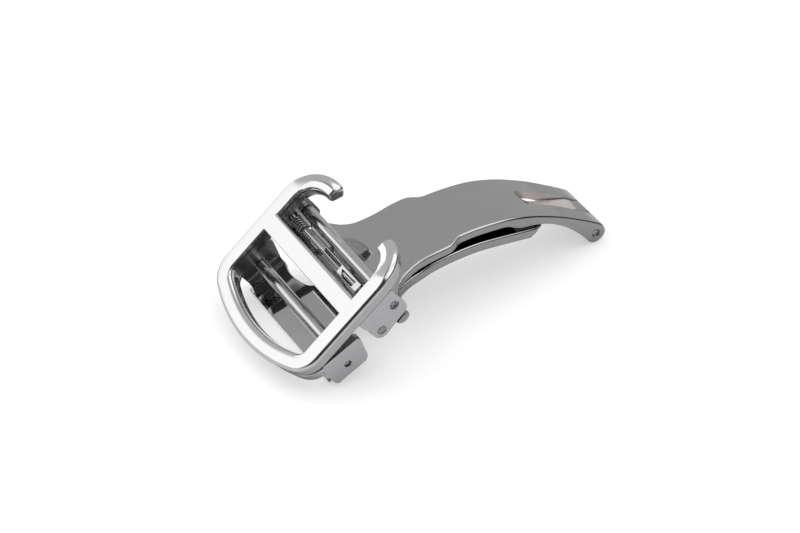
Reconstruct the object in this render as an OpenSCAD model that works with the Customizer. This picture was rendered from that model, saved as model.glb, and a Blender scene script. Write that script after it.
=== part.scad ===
// Deployant clasp for a leather watch strap, in millimetres.
// Row frame: origin on the middle of the strap bar, X along the blades,
// Y along the bars, Z up from the table. The clasp is shown closed.

/* [Cover] */
// tilt of the cover's top face
cover_tilt = 39.6; // [34:0.1:44]
// height of the cover's top face above the strap bar
cover_rise = 3.73; // [3.4:0.01:4.2]
// middle line of the straight side rail
rail_y = 9.32; // [9:0.01:9.6]
// width of the rail
rail_w = 2; // [1.7:0.01:2.2]
// middle line of the rounded left end
bow_x = -13.4; // [-14:0.01:-12.8]
// radius of the rounded left end
bow_r = 20; // [16:0.1:26]
// radius where the left end meets the rail
bow_corner = 2.4; // [1.8:0.1:3.2]
// middle line of the arm's tip
arm_x = 4.25; // [3.9:0.01:4.6]
// radius of the arm's bend
arm_corner = 3.9; // [3.2:0.1:4.4]
// half gap between the two arm tips
arm_gap = 5.15; // [4.6:0.05:5.3]
// arm width against the rail's
arm_taper = 0.97; // [0.8:0.01:1]
// how far the tips dip
arm_dip = 1.1; // [0:0.05:1.4]
// how far the tips turn round
arm_turn = 31; // [0:1:35]
// how far the tips draw in to the left
arm_curl = 0.34; // [0:0.01:0.5]
// length of the rounding at a tip
tip_round = 0.4; // [0.2:0.05:0.6]
// left edge of the crossbar
crossbar_x = -4.47; // [-5:0.01:-4]
// width of the crossbar
crossbar_w = 2.2; // [1.8:0.01:2.6]
// thickness of the polished frame
frame_t = 0.62; // [0.6:0.01:0.8]
// thickness of the band under the frame
band_t = 1.13; // [0.9:0.01:1.3]
// how far the band stands in from the frame
band_ledge = 0.15; // [0.05:0.01:0.25]
// depth of the groove between frame and band
groove = 0.04; // [0.02:0.01:0.08]

/* [Lugs] */
// inner face of each lug
lug_y = 8.7; // [8.5:0.01:8.9]
// thickness of each lug
lug_t = 1.58; // [1.3:0.01:1.7]
// where the hinge pin stands from the strap bar
hinge_x = -3.03; // [-3.2:0.01:-2.8]
// how far the hinge pin lies under the strap bar
hinge_drop = 1.23; // [1.1:0.01:1.4]
// radius of the lug's boss
boss_r = 1.04; // [0.85:0.01:1.1]
// radius of the lug's foot
foot_r = 0.82; // [0.7:0.01:0.9]
// how far the foot's middle lies under the strap bar
foot_drop = 1.1; // [1:0.01:1.2]
// diameter of the hinge pin
hinge_d = 1; // [0.8:0.01:1.1]
// where the latch pin stands from the strap bar
latch_x = -1.57; // [-1.7:0.01:-1.5]
// how far the latch pin lies over the strap bar
latch_rise = 0.83; // [0.7:0.01:0.95]
// diameter of the latch pin
latch_d = 0.7; // [0.5:0.01:0.8]

/* [Bars] */
// diameter of the strap bar
bar_d = 1.5; // [1.3:0.01:1.6]
// wall of the bar's tube
bar_wall = 0.2; // [0.15:0.01:0.25]
// diameter of the sprung tips
tip_d = 0.8; // [0.7:0.01:0.9]
// how far a tip stands back from the outer face
tip_recess = 0.3; // [0.2:0.01:0.5]
// play round a running pin
play = 0.04; // [0.02:0.01:0.06]
// gap beside a bar's tube
end_gap = 0.1; // [0.05:0.01:0.15]

/* [Cradle] */
// tilt of the cradle's plate
cradle_tilt = 26.9; // [25:0.1:29]
// where the buckle bar stands from the strap bar
buckle_x = -5.84; // [-6:0.01:-5.7]
// how far the buckle bar lies under the strap bar
buckle_drop = 5.78; // [5.6:0.01:5.9]
// inner face of each cheek
cheek_y = 9.25; // [9.1:0.01:9.35]
// thickness of each cheek
cheek_t = 1.05; // [0.9:0.01:1.15]
// top edge of the cheek over the buckle bar
cheek_top = 2.25; // [2:0.01:2.35]
// bottom edge of the cheek under the buckle bar
cheek_foot = 1.5; // [1.35:0.01:1.6]
// thickness of the plate
plate_t = 0.6; // [0.5:0.01:0.75]
// top of the plate under the buckle bar
plate_drop = 1.42; // [1.3:0.01:1.5]
// thickness of the cradle's rim
rim_t = 1.2; // [0.9:0.01:1.3]
// width of the cradle's rim
rim_w = 1.15; // [1:0.05:2]
// gap between the rim and the cover's band
rim_gap = 0.24; // [0.2:0.01:0.35]
// right end of the neck's straight part
neck_l = 6.2; // [5.8:0.1:6.5]

/* [Blades] */
// where the fold pin stands from the strap bar
fold_x = 30.78; // [30:0.01:31.5]
// how far the fold pin lies under the strap bar
fold_drop = 7.33; // [7:0.01:7.6]
// radius of the knuckle round the fold pin
fold_r = 1.25; // [1.15:0.01:1.35]
// diameter of the fold pin
fold_d = 1; // [0.8:0.01:1.1]
// thickness of the upper blade
upper_t = 0.95; // [0.8:0.01:1.05]
// thickness of the lower blade
lower_t = 1.15; // [0.9:0.01:1.25]
// half width of the blades' middle
blade_y = 4.18; // [3.8:0.01:4.4]
// half width of the blades at the fold pin
tail_y = 3.82; // [3.6:0.01:4]
// left end of the fork round the tongue
fork_x = 18.6; // [18:0.1:20]
// inner end of the knuckles round the hinge pin
knuckle_y = 4.4; // [4:0.1:5]
// right end of the room for the latch
notch_x = 1.3; // [1.1:0.1:1.5]
// half width of the upper blade between the lugs
tee_y = 8.5; // [8.2:0.01:8.55]
// half length of the crosspiece at the upper blade's left end
cross_y = 10.2; // [9.8:0.01:10.26]
// middle of the crosspiece
cross_x = 1.05; // [1:0.01:1.1]
// how far that middle lies under the strap bar
cross_drop = 2.15; // [2.1:0.01:2.25]
// radius of the crosspiece
cross_r = 0.87; // [0.8:0.01:0.9]
// how far the cover opens
cover_open = 6; // [4:1:6]
// half width of the lower blade's wide end
tee2_y = 7.2; // [6.8:0.1:7.4]
// left edge of the lower blade's wide end
tee_x = 1.3; // [1.1:0.1:1.5]
// left end of the slot over the tongue
slot_x = 22.45; // [22:0.01:23.5]
// corner radius of that end
slot_r = 0.6; // [0.3:0.05:0.9]
// half width of the neck at the cradle
neck_y = 3; // [2.6:0.1:3.2]
// half width of the tongue
tongue_y = 1.2; // [1:0.01:1.3]
// gap beside the tongue
tongue_gap = 0.2; // [0.15:0.01:0.3]

/* [Latch] */
// half width of the latch's nose
nose_y = 1.2; // [1:0.05:1.4]
// near end of the latch's hub
hub_near = 6; // [5.5:0.1:6.2]
// far end of the latch's hub
hub_far = 1.6; // [1.3:0.1:2.5]
// where the nose's point stands from the left edge of its window
nose_in = 1.15; // [1:0.05:1.3]
// height of the nose
nose_h = 2.2; // [1.9:0.1:2.4]
// wire of the latch springs
wire_d = 0.28; // [0.2:0.01:0.32]

/* [Hidden] */
$fn = 48;
rail_o = rail_y + rail_w / 2;
arm_bend_x = arm_x - arm_corner;
bow_turn = asin((rail_y - bow_corner) / (bow_r - bow_corner));
bow_bend_x = bow_x + bow_r - (bow_r - bow_corner) * cos(bow_turn);
lug_o = lug_y + lug_t;
cheek_o = cheek_y + cheek_t;
frame_foot = cover_rise - frame_t;
band_foot = frame_foot - band_t;
band_w = rail_w - 2 * (rail_o - lug_o);
rim_top = band_foot - rim_gap;
slot_y = tongue_y + tongue_gap;
bar_shoulder = tip_d + 2 * 0.1;
hinge = cover_point(hinge_x, -hinge_drop);
latch = cover_point(latch_x, latch_rise);
window_x0 = hinge[0] + hinge_d / 2;
neck_a = cradle_point(3, -plate_drop);
neck_b = cradle_point(neck_l, -plate_drop);
function neck_z(x) = neck_a[1] + (x - neck_a[0]) * tan(cradle_tilt);

// places and directions

// a point given in the cover's own plane, as X and Z in the row frame
function cover_point(x, z) =
    [x * cos(cover_tilt) - z * sin(cover_tilt), x * sin(cover_tilt) + z * cos(cover_tilt)];
// the same for the cradle, whose origin is the buckle bar
function cradle_point(x, z) = [
    buckle_x + x * cos(cradle_tilt) - z * sin(cradle_tilt),
    -buckle_drop + x * sin(cradle_tilt) + z * cos(cradle_tilt)];

module cover_plane() rotate([0, -cover_tilt, 0]) children();
module cradle_plane()
    translate([buckle_x, 0, -buckle_drop]) rotate([0, -cradle_tilt, 0]) children();
// a plate drawn in X and Z, from y0 to y1
module plate_xz(y0, y1) translate([0, y1, 0]) rotate([90, 0, 0]) linear_extrude(y1 - y0) children();
module both_sides() { children(); mirror([0, 1, 0]) children(); }
// a pin along Y
module pin(d, y0, y1) translate([0, y1, 0]) rotate([90, 0, 0]) cylinder(d = d, h = y1 - y0);

// smooth lines through a few measured stations

function spline_at(p, i, t) = let (
    n = len(p) - 1, a = p[max(i - 1, 0)], b = p[i], c = p[min(i + 1, n)], d = p[min(i + 2, n)])
    0.5 * (2 * b + (c - a) * t + (2 * a - 5 * b + 4 * c - d) * t * t
        + (3 * b - a - 3 * c + d) * t * t * t);
function spline(p, steps) =
    [for (i = [0 : len(p) - 2]) for (k = [0 : steps - 1]) spline_at(p, i, k / steps), p[len(p) - 1]];
function flip(p) = [for (i = [len(p) - 1 : -1 : 0]) p[i]];
function mirror_y(p) = [for (q = p) [q[0], -q[1]]];

// the curved run of the cover: tip, arm, rail, left end, rail, arm, tip

// half of the run for y > 0: [x, y, heading, share of the arm]
bow_steps = 9;
bend_steps = 6;
arm_steps = 12;
arm_len = arm_corner * PI / 2 + rail_y - arm_corner - arm_gap;
function run_half() = [
    for (k = [0 : bow_steps]) let (a = bow_turn * k / bow_steps)
        [bow_x + bow_r - bow_r * cos(a), bow_r * sin(a), 90 - a, 0],
    for (k = [1 : bend_steps]) let (h = (90 - bow_turn) * (1 - k / bend_steps))
        [bow_bend_x - bow_corner * sin(h), rail_y - bow_corner + bow_corner * cos(h), h, 0],
    for (k = [0 : arm_steps]) let (h = -90 * k / arm_steps)
        [arm_bend_x - arm_corner * sin(h), rail_y - arm_corner + arm_corner * cos(h), h,
            arm_corner * PI / 2 * k / arm_steps / arm_len],
    for (k = [0.25, 0.55, 0.8, 0.94, 1]) let (y = mix(rail_y - arm_corner, arm_gap, k))
        [arm_x, y, -90, 1 - (y - arm_gap) / arm_len]];
// the far half walked from left to tip, the near half from tip to left
function run_full(half) = let (n = len(half) - 1)
    [for (i = [n : -1 : 1]) [half[i][0], -half[i][1], 180 - half[i][2], half[i][3]],
     for (i = [0 : n]) half[i]];
function mix(a, b, t) = a + (b - a) * t;
// how far the dip, turn and thinning have gone along an arm
function ease(a, from) = a <= from ? 0 : pow((a - from) / (1 - from), 1.1);
arm_from = 0.16;
function arm_width(a) = 1 - (1 - arm_taper) * min(1, a * 2);
// how far the rounding of the tip has drawn the section in
function tip_inset(a) = let (d = min((1 - a) * arm_len, tip_round), k = 1 - d / tip_round)
    0.25 * (1 - sqrt(1 - k * k));

// one ring of a swept section: u points out, v points up from the frame's top face
function swept_ring(s, section) = let (
    e = ease(s[3], arm_from), turn = arm_turn * e, inset = tip_inset(s[3]),
    w = arm_width(s[3]) - inset, t = 1 - 0.12 * e, mid = -frame_t - 0.23,
    c = cos(s[2] + 90), n = sin(s[2] + 90), x = s[0] - arm_curl * ease(s[3], 0.45))
    [for (q = section) let (
        u = q[0] * w, v = (q[1] - mid) * t * (1 - inset),
        ur = u * cos(turn) + v * sin(turn), vr = -u * sin(turn) + v * cos(turn) + mid * t)
        [x + c * ur, s[1] + n * ur, cover_rise + vr - arm_dip * e]];
module swept(run, sections) {
    n = len(sections[0]);
    m = len(run);
    points = [for (i = [0 : m - 1]) each swept_ring(run[i], sections[i])];
    // the last side is split the other way, so that frame and band share their seam
    sides = [for (i = [0 : m - 2]) for (k = [0 : n - 1]) let (
        j = (k + 1) % n, a = i * n + k, b = i * n + j, c = (i + 1) * n + j, d = (i + 1) * n + k)
        each k == n - 1 ? [[a, b, d], [b, c, d]] : [[a, b, c], [a, c, d]]];
    polyhedron(points, concat(sides,
        [[for (k = [n - 1 : -1 : 0]) k], [for (k = [0 : n - 1]) (m - 1) * n + k]]));
}
// quarter round of a section's corner
function quarter(cx, cy, r, a0, steps) =
    [for (k = [0 : steps]) let (a = a0 - 90 * k / steps) [cx + r * cos(a), cy + r * sin(a)]];

// frame: flat top, rolled outer edge, fine groove above the band; the tip grows oval
function frame_section(e) = let (
    h = rail_w / 2, roll = mix(0.6, 0.9, e), deep = mix(0.5, 0.54, e),
    lip = mix(0.2, 0.8, e), low = mix(0.18, 0.5, e), g = groove * (1 - e) + 0.02) concat(
    [[-h, -frame_t]],
    [for (a = [0 : 30 : 90]) [-h + lip * (1 - cos(a)), -low * (1 - sin(a))]],
    [[mix(-0.4, -0.05, e), 0.02]],
    [for (a = [0 : 18 : 90]) [h - roll * (1 - sin(a)), -deep * (1 - cos(a))]],
    [[h, -frame_t + g], [h - g, -frame_t]]);
function band_section(e) = let (
    h = rail_w / 2 - 0.02, i = rail_w / 2 + band_ledge * (1 - e), z = -frame_t, f = z - band_t,
    r = mix(0.1, 0.45, e), g = groove * (1 - e) + 0.02) concat(
    [[-i, z], [h - g, z], [h, z - g]], quarter(h - r, f + r, r, 0, 3), quarter(-i + r, f + r, r, -90, 3));
full_run = run_full(run_half());
shares = [for (s = full_run) ease(s[3], arm_from)];

// cover

module cover_frame() color("gainsboro") cover_plane() {
    swept(full_run, [for (e = shares) frame_section(e)]);
    plate_xz(-rail_y, rail_y)
        polygon([[crossbar_x, cover_rise - frame_t], [crossbar_x, cover_rise],
            [crossbar_x + crossbar_w - 0.3, cover_rise],
            [crossbar_x + crossbar_w, cover_rise - 0.3],
            [crossbar_x + crossbar_w, cover_rise - frame_t]]);
}

module cover_band() color("silver") cover_plane()
    swept(full_run, [for (e = shares) band_section(e)]);

// rounded boss at the hinge pin, rounded foot under the strap bar, small notch at the left
lug_outline = let (left = hinge_x - boss_r) concat(
    flip(quarter(hinge_x, -hinge_drop, boss_r, 270, 8)),
    flip(quarter(0.1, -foot_drop, foot_r, 0, 8)),
    [[1.2, band_foot - 0.3], [1.2, band_foot], [left, band_foot], [left, 0.9],
     [left + 0.1, 0.6], [left + 0.1, 0.1], [left, -0.2]]);
module lug() cover_plane() difference() {
    plate_xz(lug_y, lug_o) polygon(lug_outline);
    pin(tip_d + 2 * play, lug_y - 1, lug_o + 1);
    pin(tip_d + 0.35, lug_o - tip_recess, lug_o + 1);
    translate([hinge_x, 0, -hinge_drop]) pin(hinge_d, lug_y - 1, lug_o + 1);
    translate([latch_x, 0, latch_rise]) pin(latch_d, lug_y - 1, lug_y + 0.8);
}
module lug_far() color("silver") lug();
module lug_near() color("silver") mirror([0, 1, 0]) lug();

module hinge_pin() color("darkgray")
    cover_plane() translate([hinge_x, 0, -hinge_drop]) pin(hinge_d, -lug_o, lug_o);
module latch_pin() color("darkgray")
    cover_plane() translate([latch_x, 0, latch_rise]) pin(latch_d, -lug_y - 0.8, lug_y + 0.8);

// latch

// hub on the latch pin, open at a window, with a hooked arm down to the neck
hub_s = 1.24;
nose_tip = [window_x0 + nose_in, neck_z(window_x0 + nose_in) - 0.35];
module latch_pawl() color("lightgray") difference() {
    union() {
        cover_plane() translate([latch_x, 0, latch_rise])
            plate_xz(-hub_near, hub_far) square(hub_s, center = true);
        plate_xz(-nose_y, nose_y) polygon([
            [latch[0] - 0.3, latch[1] - 0.4], [latch[0] + 0.55, latch[1] - 0.35],
            [nose_tip[0] + 0.1, nose_tip[1] + nose_h], [nose_tip[0] + 0.25, nose_tip[1] + 0.3],
            [nose_tip[0], nose_tip[1]], [nose_tip[0] - 0.3, nose_tip[1] + 0.3],
            [nose_tip[0] - 0.5, nose_tip[1] + nose_h - 0.3]]);
    }
    cover_plane() translate([latch_x, 0, latch_rise]) {
        pin(latch_d + 2 * play, -hub_near - 1, hub_far + 1);
        translate([-0.2, -hub_near + 0.8, 0]) cube([2, 1.9, 2]);
    }
}

// a torsion spring round the latch pin: one unbroken wire
turns = 5;
rings = 8;
spring_l = lug_y - hub_near - 0.3 - wire_d;
function coil_point(a, r, y0, pitch) = [r * cos(a), y0 + pitch * a / 360, r * sin(a)];
module coil(r, d, pitch, n, y0, sides) {
    count = n * rings;
    lean = atan(pitch / (2 * PI * r));
    points = [for (i = [0 : count]) let (a = 360 * i / rings, c = coil_point(a, r, y0, pitch))
        for (k = [0 : sides - 1]) let (b = 360 * k / sides, o = d / 2 * cos(b), h = d / 2 * sin(b))
            [c[0] + o * cos(a) + h * sin(lean) * sin(a), c[1] + h * cos(lean),
                c[2] + o * sin(a) - h * sin(lean) * cos(a)]];
    faces = [for (i = [0 : count - 1]) for (k = [0 : sides - 1]) let (j = (k + 1) % sides)
        each [[i * sides + k, (i + 1) * sides + j, i * sides + j],
              [i * sides + k, (i + 1) * sides + k, (i + 1) * sides + j]]];
    polyhedron(points, concat(faces,
        [[for (k = [0 : sides - 1]) k], [for (k = [sides - 1 : -1 : 0]) count * sides + k]]));
}
module latch_spring(y0) cover_plane() translate([latch_x, 0, latch_rise])
    coil(latch_d / 2 + wire_d / 2 + 0.05, wire_d, spring_l / turns, turns, y0, 6);
module latch_spring_near() color("dimgray") latch_spring(-lug_y + 0.15 + wire_d / 2);
module latch_spring_far() color("dimgray") latch_spring(lug_y - 0.15 - wire_d / 2 - spring_l);

// sprung bars

// tube with crimped ends that stands between two faces at -y and y
module bar_tube(d, y) difference() {
    pin(d, -y + end_gap, y - end_gap);
    pin(d - 2 * bar_wall, -y + end_gap + 0.35, y - end_gap - 0.35);
    pin(tip_d + 2 * play, -y - 1, y + 1);
}
// sprung tip: a shouldered pin that passes the crimp and sits in the hole at y
module bar_tip(y, y_out) {
    pin(tip_d, y - 1.2, y_out - tip_recess);
    pin(bar_shoulder, y - 1.5, y - end_gap - 0.4);
}
// spring that pushes both tips apart
module bar_spring(y) {
    l = y - 1.5;
    coil(0.38, 0.24, (2 * l - 0.3) / 14, 14, -l + 0.15, 6);
}
module strap_bar_tube() color("silver") bar_tube(bar_d, lug_y);
module strap_bar_spring() color("dimgray") bar_spring(lug_y);
module strap_bar_tip_far() color("darkgray") bar_tip(lug_y, lug_o);
module strap_bar_tip_near() color("darkgray") mirror([0, 1, 0]) bar_tip(lug_y, lug_o);
module at_buckle_bar() translate([buckle_x, 0, -buckle_drop]) children();
module buckle_bar_tube() color("silver") at_buckle_bar() bar_tube(bar_d, cheek_y);
module buckle_bar_spring() color("dimgray") at_buckle_bar() bar_spring(cheek_y);
module buckle_bar_tip_far() color("darkgray") at_buckle_bar() bar_tip(cheek_y, cheek_o);
module buckle_bar_tip_near() color("darkgray")
    at_buckle_bar() mirror([0, 1, 0]) bar_tip(cheek_y, cheek_o);

// blades

// top line of the upper blade, from the hinge knuckle to the fold knuckle
upper_line = [
    [hinge[0], hinge[1] + 0.95], [0.2, -2.42], [1.2, -2.11], [2.2, -1.76], [3.2, -1.41],
    [4.2, -1.08], [5.2, -0.78], [6.2, -0.5],
    [8.2, -0.06], [10.2, 0.17], [12.2, 0.29], [14.2, 0.33], [16.2, 0.22], [18.2, -0.02],
    [20.2, -0.51], [22.2, -1.18], [24.2, -2.05], [26.2, -3.04], [28.2, -4.2], [fold_x - 0.55, -5.43],
    [fold_x + fold_r * sin(33), -fold_drop + fold_r * cos(33)]];
// half width of the upper blade along X
upper_plan = [
    [hinge[0] - 1.2, tee_y], [hinge[0] + 1.5, tee_y], [1.8, tee_y], [1.86, 8.1], [2.15, 7.55],
    [2.5, 6.98], [2.95, 6.4], [3.7, 5.75], [4.6, 5.35],
    [6.4, 5.02], [8.6, 5.06], [10.3, 5.05], [11.1, 4.75], [11.9, 4.28], [13, blade_y], [18, blade_y - 0.02],
    [24, blade_y - 0.2], [fold_x - 2, tail_y], [fold_x + fold_r + 0.2, tail_y]];
// deeper side of the fork, down to the fold knuckle
fork_foot = [
    [fork_x, -1.1], [fork_x + 1.4, -1.88], [21.5, -2.2], [23, -2.62], [24.7, -3.38], [26.7, -4.77],
    [28.7, -6.72], [fold_x - 0.85, -fold_drop - 0.9]];
// top line of the lower blade, from the neck to the tongue's knuckle
lower_line = [
    neck_a, (neck_a + neck_b) / 2, neck_b, [2.4, -3.62], [4.6, -3.22], [6.9, -2.84], [8.9, -2.28],
    [11.6, -1.95], [14.4, -1.9], [17.2, -2.2], [20, -2.62], [21.9, -2.95], [23.8, -3.3],
    [25.2, -3.63]];
tongue_line = [
    [25.2, -3.63], [29.6, -5.12], [fold_x - 0.45, -5.62],
    [fold_x + fold_r * sin(33), -fold_drop + fold_r * cos(33)]];
lower_plan = [
    [tee_x, tee2_y - 0.3], [tee_x + 0.3, tee2_y], [2.3, tee2_y], [2.7, tee2_y - 0.4], [2.9, 6.3],
    [3.25, 5.7], [3.9, 5.05], [5.2, 4.45], [7, 4.15], [12, 4.12], [18, 4.08], [21.8, 4], [22.7, 3.85],
    [23.4, 3.4], [23.9, 2.6], [24.2, 1.7], [24.6, tongue_y + 0.1], [25.2, tongue_y]];

function drop_line(p, t) = [for (q = p) [q[0], q[1] - t]];
module band_between(top, bottom) polygon(concat(top, flip(bottom)));
module plan(p, x0, x1) polygon(concat([[x0, p[0][1]]], p, [[x1, p[len(p) - 1][1]]],
    flip(mirror_y(concat([[x0, p[0][1]]], p, [[x1, p[len(p) - 1][1]]])))));

// round crosspiece, flush with the blade's top line
module crosspiece_section() intersection() {
    translate([cross_x, -cross_drop]) circle(cross_r);
    under_top(4);
}
// the room a lug needs, with the cover turned open by some degrees
module lug_room(open) translate(hinge) rotate(cover_tilt - open) translate([-hinge_x, hinge_drop]) {
    room = 0.13;
    polygon([[hinge_x, -hinge_drop - boss_r - room], [0.1, -foot_drop - foot_r - room],
        [0.1, 2], [hinge_x, 2]]);
    translate([0.1, -foot_drop]) circle(foot_r + room);
}
module crosspiece() {
    plate_xz(-tee_y, tee_y) crosspiece_section();
    both_sides() plate_xz(tee_y - 0.01, cross_y) difference() {
        crosspiece_section();
        for (open = [0, cover_open / 2, cover_open]) lug_room(open);
    }
}
module under_top(t) band_between(spline(upper_line, 4), drop_line(spline(upper_line, 4), t));
module upper_blade() color("gray") difference() {
    union() {
        crosspiece();
        intersection() {
            union() {
                plate_xz(-tee_y - 1, tee_y + 1) {
                    under_top(upper_t);
                    translate(hinge) circle(0.95);
                }
                plate_xz(-tee_y, tee_y) {
                    band_between(
                        [for (q = spline(upper_line, 4)) if (q[0] > fork_x) q], spline(fork_foot, 4));
                    translate([fold_x, -fold_drop]) circle(fold_r);
                }
            }
            translate([0, 0, -12]) linear_extrude(16)
                plan(spline(upper_plan, 5), hinge[0] - 1.5, fold_x + 2);
        }
    }
    // room for the latch between the hinge knuckles
    translate([hinge[0] - 2, -knuckle_y, -12]) cube([notch_x - hinge[0] + 2, 2 * knuckle_y, 16]);
    // slot for the tongue, round at its left end
    both_sides() translate([slot_x + slot_r, slot_y - slot_r, -12]) cylinder(r = slot_r, h = 16);
    translate([slot_x, -slot_y + slot_r, -12]) cube([2, 2 * (slot_y - slot_r), 16]);
    translate([slot_x + slot_r, -slot_y, -12]) cube([fold_x - slot_x + 3, 2 * slot_y, 16]);
    translate([hinge[0], 0, hinge[1]]) pin(hinge_d + 2 * play, -tee_y - 1, tee_y + 1);
    translate([fold_x, 0, -fold_drop]) pin(fold_d, -tail_y - 1, tail_y + 1);
}
module fold_pin() color("darkgray")
    translate([fold_x, 0, -fold_drop]) pin(fold_d, -tail_y + 0.15, tail_y - 0.15);

module lower_blade() color("gray") difference() {
    union() {
        intersection() {
            plate_xz(-tee2_y, tee2_y) band_between(spline(lower_line, 4), lower_foot());
            translate([0, 0, -12]) linear_extrude(14) union() {
                plan(spline(lower_plan, 5), tee_x - 0.1, 25.2);
                translate([neck_a[0] - 1, -neck_y]) square([tee_x - neck_a[0] + 1.2, 2 * neck_y]);
            }
        }
        plate_xz(-tongue_y, tongue_y) {
            polygon(concat([[24, -3.35 - 1]], spline([[24, -3.35], tongue_line[0]], 1), tongue_line,
                [[fold_x + 0.5, -fold_drop - fold_r * 0.9], [fold_x - 0.7, -fold_drop - fold_r * 0.82],
                 [27.6, -6.0]]));
            translate([fold_x, -fold_drop]) circle(fold_r);
        }
    }
    translate([fold_x, 0, -fold_drop]) pin(fold_d + 2 * play, -tongue_y - 1, tongue_y + 1);
    // window in the neck for the latch's nose
    translate([window_x0 + 0.1, -nose_y - 0.3, -12]) cube([2.4, 2 * nose_y + 0.6, 14]);
}
// underside of the lower blade: as thin as the plate at the neck
function lower_foot() = let (thin = plate_t / cos(cradle_tilt)) [for (q = spline(lower_line, 4))
    [q[0], q[1] - thin - (lower_t - thin) * min(1, max(0, (q[0] - 0.2) / 3))]];

// cradle

function rim_edge(run, off) = [for (s = run) [s[0] + cos(s[2] + 90) * off, s[1] + sin(s[2] + 90) * off]];
module strap_cradle() color("silver") {
    run = [for (s = full_run) if (s[0] < rim_end_x + 0.01) s];
    difference() {
        union() {
            // rim under the left end of the cover
            cover_plane() translate([0, 0, rim_top - rim_t]) linear_extrude(rim_t) polygon(concat(
                [[rim_end_x + 1, -lug_o]], rim_edge(run, band_w / 2),
                [[rim_end_x + 1, lug_o], [rim_end_x + 1, lug_o - rim_w]],
                flip(rim_edge(run, band_w / 2 - rim_w)), [[rim_end_x + 1, -lug_o + rim_w]]));
            both_sides() cradle_plane() {
                plate_xz(cheek_y, cheek_o) cheek_outline();
                translate([-2.36, 0, 0]) rotate([90, 0, 90]) linear_extrude(4.6) polygon([
                    [cheek_y + 0.5, -cheek_foot], [cheek_y + 0.1, -plate_drop - plate_t],
                    [cheek_y - 0.9, -plate_drop - plate_t], [cheek_y - 0.9, -plate_drop],
                    [cheek_y - 0.3, -plate_drop + 0.15], [cheek_y + 0.1, -plate_drop + 0.7],
                    [cheek_y + 0.5, -plate_drop + 0.7]]);
            }
            cradle_plane() translate([0, 0, -plate_drop - plate_t]) linear_extrude(plate_t)
                cradle_plan();
        }
        at_buckle_bar() pin(tip_d + 2 * play, -cheek_o - 1, cheek_o + 1);
        // the plate ends upright where the neck of the lower blade begins
        translate([neck_a[0], -neck_y - 1, neck_a[1] - 2]) cube([2, 2 * neck_y + 2, 4]);
    }
}
rim_end_x = bow_bend_x;
module cheek_outline() {
    polygon([[-2.7, cheek_top - 1.2], [-2.36, -cheek_foot + 0.4], [-2.1, -cheek_foot],
        [1.8, -cheek_foot], [2.3, -cheek_foot + 0.5], [2.72, cheek_top - 0.4], [2.4, cheek_top],
        [-2.3, cheek_top]]);
}
module cradle_plan() {
    half = spline([[2.3, cheek_y - 0.4], [2.15, 8.2], [1.9, 7.2], [1.88, 6.2], [2.1, 4.8], [2.5, 3.6],
        [3.0, neck_y]], 4);
    polygon(concat([[-2.8, cheek_y - 0.4]], half, flip(mirror_y(half)), [[-2.8, -cheek_y + 0.4]]));
}

cover_frame();
cover_band();
lug_near();
lug_far();
hinge_pin();
latch_pin();
latch_pawl();
latch_spring_near();
latch_spring_far();
strap_bar_tube();
strap_bar_spring();
strap_bar_tip_near();
strap_bar_tip_far();
upper_blade();
fold_pin();
lower_blade();
strap_cradle();
buckle_bar_tube();
buckle_bar_spring();
buckle_bar_tip_near();
buckle_bar_tip_far();
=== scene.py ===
"""Deployant clasp of a leather watch strap, closed, on a white table in soft studio light."""
import logging
import math
from dataclasses import dataclass
from enum import Enum

import bmesh
import bpy
from mathutils import Matrix, Vector


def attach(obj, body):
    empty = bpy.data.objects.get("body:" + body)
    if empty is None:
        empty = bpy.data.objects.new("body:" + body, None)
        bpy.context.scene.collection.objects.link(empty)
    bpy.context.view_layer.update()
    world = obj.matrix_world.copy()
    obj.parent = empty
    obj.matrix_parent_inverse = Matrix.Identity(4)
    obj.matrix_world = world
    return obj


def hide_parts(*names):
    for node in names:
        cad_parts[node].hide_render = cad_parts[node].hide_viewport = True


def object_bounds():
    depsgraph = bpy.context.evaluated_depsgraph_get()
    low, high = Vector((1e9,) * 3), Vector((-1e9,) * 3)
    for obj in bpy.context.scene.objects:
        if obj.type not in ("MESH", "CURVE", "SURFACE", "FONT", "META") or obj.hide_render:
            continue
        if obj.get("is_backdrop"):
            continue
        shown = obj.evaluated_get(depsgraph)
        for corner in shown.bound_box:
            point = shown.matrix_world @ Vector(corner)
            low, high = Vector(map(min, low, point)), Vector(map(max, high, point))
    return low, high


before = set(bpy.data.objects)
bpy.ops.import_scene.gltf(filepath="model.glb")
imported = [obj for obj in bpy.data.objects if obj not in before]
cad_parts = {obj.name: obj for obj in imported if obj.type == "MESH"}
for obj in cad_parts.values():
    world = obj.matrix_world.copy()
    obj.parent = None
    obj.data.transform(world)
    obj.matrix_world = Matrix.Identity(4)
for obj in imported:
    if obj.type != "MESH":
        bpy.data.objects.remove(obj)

LOG = logging.getLogger("clasp")
MM = 0.001
# In millimetres: how far a cutter goes past a face, and two heights under and over both blades.
PAST = 1.0
UNDER, OVER = -12.0, 4.0

Point = tuple[float, float]
Place = tuple[float, float, float]
Colour = tuple[float, float, float]
Ramp = tuple[float, float, float]


def tilted(x: float, z: float, degrees: float, origin: Point = (0.0, 0.0)) -> Point:
    """A point of a plane that rises to the right by some degrees, as X and Z."""
    a = math.radians(degrees)
    return (origin[0] + x * math.cos(a) - z * math.sin(a),
            origin[1] + x * math.sin(a) + z * math.cos(a))


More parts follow.
